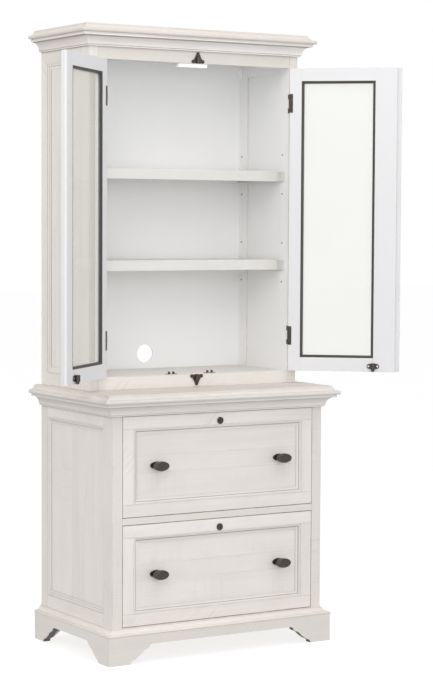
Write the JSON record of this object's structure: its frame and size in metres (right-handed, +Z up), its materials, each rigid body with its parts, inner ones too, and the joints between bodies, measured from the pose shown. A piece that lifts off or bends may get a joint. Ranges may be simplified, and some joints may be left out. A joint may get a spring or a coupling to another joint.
{
  "type": "lateral file cabinet with glazed hutch",
  "caption": "Rustic whitewashed lateral file cabinet with moulded plinth and crowns, carrying a glazed hutch with hinged doors, adjustable shelves and dark oval knobs.",
  "frame": {"origin": "on the floor, under the middle of the file cabinet's body", "axes": "+X to the cabinet's right as seen from the front, +Y to its back, +Z up; the front faces -Y"},
  "size_m": [1.23, 0.5833, 1.948],
  "materials": {
    "painted_wood": "whitewashed, rubbed at the edges",
    "interior_paint": "smooth satin paint",
    "shelf_paint": "smooth satin paint",
    "drawer_wood": "clear lacquer",
    "zinc_steel": "zinc plated",
    "bronze": "oil-rubbed bronze",
    "bead": "dark bronze",
    "glass": "clear",
    "lamp_body": "satin",
    "lamp_diffuser": "frosted"
  },
  "bodies": {
    "cabinet": {"base_frame": "painted_wood", "hutch_frame": "painted_wood", "side_panels": "painted_wood", "side_panel_mouldings": "painted_wood", "base_back_panel": "drawer_wood", "base_bottom_panel": "drawer_wood", "slide_cabinet_members": "zinc_steel", "base_top": "painted_wood", "base_cove_moulding": "painted_wood", "plinth_boards": "painted_wood", "plinth_cap_moulding": "painted_wood", "hutch_back_panel": "interior_paint", "hutch_floor": "interior_paint", "hutch_ceiling": "interior_paint", "hutch_top": "painted_wood", "hutch_cove_moulding": "painted_wood", "shelf_pins": "zinc_steel", "light_housing": "lamp_body", "light_diffuser": "lamp_diffuser", "bolt_keepers": "bronze", "catch_strikes": "bronze", "hinge_cabinet_leaves": "bronze"},
    "upper_drawer": {"upper_drawer_front_frame": "painted_wood", "upper_drawer_front_panel": "painted_wood", "upper_drawer_front_moulding": "painted_wood", "upper_drawer_box": "drawer_wood", "upper_drawer_file_rails": "zinc_steel", "upper_drawer_knobs": "bronze", "upper_drawer_lock_case": "bronze", "upper_drawer_slide_members": "zinc_steel"},
    "lower_drawer": {"lower_drawer_front_frame": "painted_wood", "lower_drawer_front_panel": "painted_wood", "lower_drawer_front_moulding": "painted_wood", "lower_drawer_box": "drawer_wood", "lower_drawer_file_rails": "zinc_steel", "lower_drawer_knobs": "bronze", "lower_drawer_lock_case": "bronze", "lower_drawer_slide_members": "zinc_steel"},
    "upper_slide_middles": {"upper_drawer_slide_middles": "zinc_steel"},
    "lower_slide_middles": {"lower_drawer_slide_middles": "zinc_steel"},
    "upper_lock_plug": {"upper_drawer_lock_plug": "bronze"},
    "lower_lock_plug": {"lower_drawer_lock_plug": "bronze"},
    "upper_shelf": {"upper_shelf": "shelf_paint"},
    "lower_shelf": {"lower_shelf": "shelf_paint"},
    "left_door": {"left_door_frame": "painted_wood", "left_door_glass": "glass", "left_door_glazing_beads": "bead", "left_door_hinge_leaves": "bronze", "left_door_catch": "bronze"},
    "right_door": {"right_door_frame": "painted_wood", "right_door_glass": "glass", "right_door_glazing_beads": "bead", "right_door_hinge_leaves": "bronze", "right_door_catch": "bronze", "bolt_case": "bronze"},
    "left_catch_plunger": {"left_door_catch_plunger": "bronze"},
    "right_catch_plunger": {"right_door_catch_plunger": "bronze"},
    "bolt_knob": {"bolt_knob": "bronze"},
    "bolt_upper_rod": {"bolt_upper_rod": "bronze"},
    "bolt_lower_rod": {"bolt_lower_rod": "bronze"}
  },
  "joints": [
    {"name": "left_door_hinge", "type": "hinge", "parent": "cabinet", "child": "left_door", "pos_m": [-0.35, -0.092, 0], "axis": [0, 0, 1], "range_deg": [-32, 138]},
    {"name": "right_door_hinge", "type": "hinge", "parent": "cabinet", "child": "right_door", "pos_m": [0.35, -0.092, 0], "axis": [0, 0, -1], "range_deg": [-31, 139]},
    {"name": "upper_drawer_slide", "type": "slide", "parent": "cabinet", "child": "upper_drawer", "axis": [0, -1, 0], "range_m": [0, 0.4]},
    {"name": "lower_drawer_slide", "type": "slide", "parent": "cabinet", "child": "lower_drawer", "axis": [0, -1, 0], "range_m": [0, 0.4]},
    {"name": "upper_middle_slide", "type": "slide", "parent": "cabinet", "child": "upper_slide_middles", "axis": [0, -1, 0], "range_m": [0, 0.2]},
    {"name": "lower_middle_slide", "type": "slide", "parent": "cabinet", "child": "lower_slide_middles", "axis": [0, -1, 0], "range_m": [0, 0.2]},
    {"name": "upper_lock_turn", "type": "hinge", "parent": "upper_drawer", "child": "upper_lock_plug", "pos_m": [0, -0.239, 0.7293], "axis": [0, -1, 0], "range_deg": [0, 90]},
    {"name": "lower_lock_turn", "type": "hinge", "parent": "lower_drawer", "child": "lower_lock_plug", "pos_m": [0, -0.239, 0.3958], "axis": [0, -1, 0], "range_deg": [0, 90]},
    {"name": "upper_shelf_lift", "type": "slide", "parent": "cabinet", "child": "upper_shelf", "axis": [0, 0, 1], "range_m": [0, 0.06]},
    {"name": "lower_shelf_lift", "type": "slide", "parent": "cabinet", "child": "lower_shelf", "axis": [0, 0, 1], "range_m": [0, 0.06]},
    {"name": "left_catch_press", "type": "slide", "parent": "left_door", "child": "left_catch_plunger", "axis": [0, 0, 1], "range_m": [0, 0.008], "stiffness_N_per_m": 500, "springref_m": -0.006},
    {"name": "right_catch_press", "type": "slide", "parent": "right_door", "child": "right_catch_plunger", "axis": [0, 0, 1], "range_m": [0, 0.008], "stiffness_N_per_m": 500, "springref_m": -0.006},
    {"name": "bolt_upper_rise", "type": "slide", "parent": "right_door", "child": "bolt_upper_rod", "axis": [0, 0, 1], "range_m": [0, 0.012]},
    {"name": "bolt_lower_drop", "type": "slide", "parent": "right_door", "child": "bolt_lower_rod", "axis": [0, 0, -1], "range_m": [0, 0.012]},
    {"name": "bolt_turn", "type": "hinge", "parent": "right_door", "child": "bolt_knob", "pos_m": [0.61113, -0.319, 1.34], "axis": [0.6561, 0.7547, 0], "range_deg": [0, 90]}
  ],
  "couplings": [
    {"joint": "upper_middle_slide", "follows": "upper_drawer_slide", "ratio": 0.5},
    {"joint": "lower_middle_slide", "follows": "lower_drawer_slide", "ratio": 0.5},
    {"joint": "bolt_turn", "follows": "bolt_upper_rise", "rad_per_m": 130.89},
    {"joint": "bolt_lower_drop", "follows": "bolt_upper_rise", "ratio": 1}
  ]
}
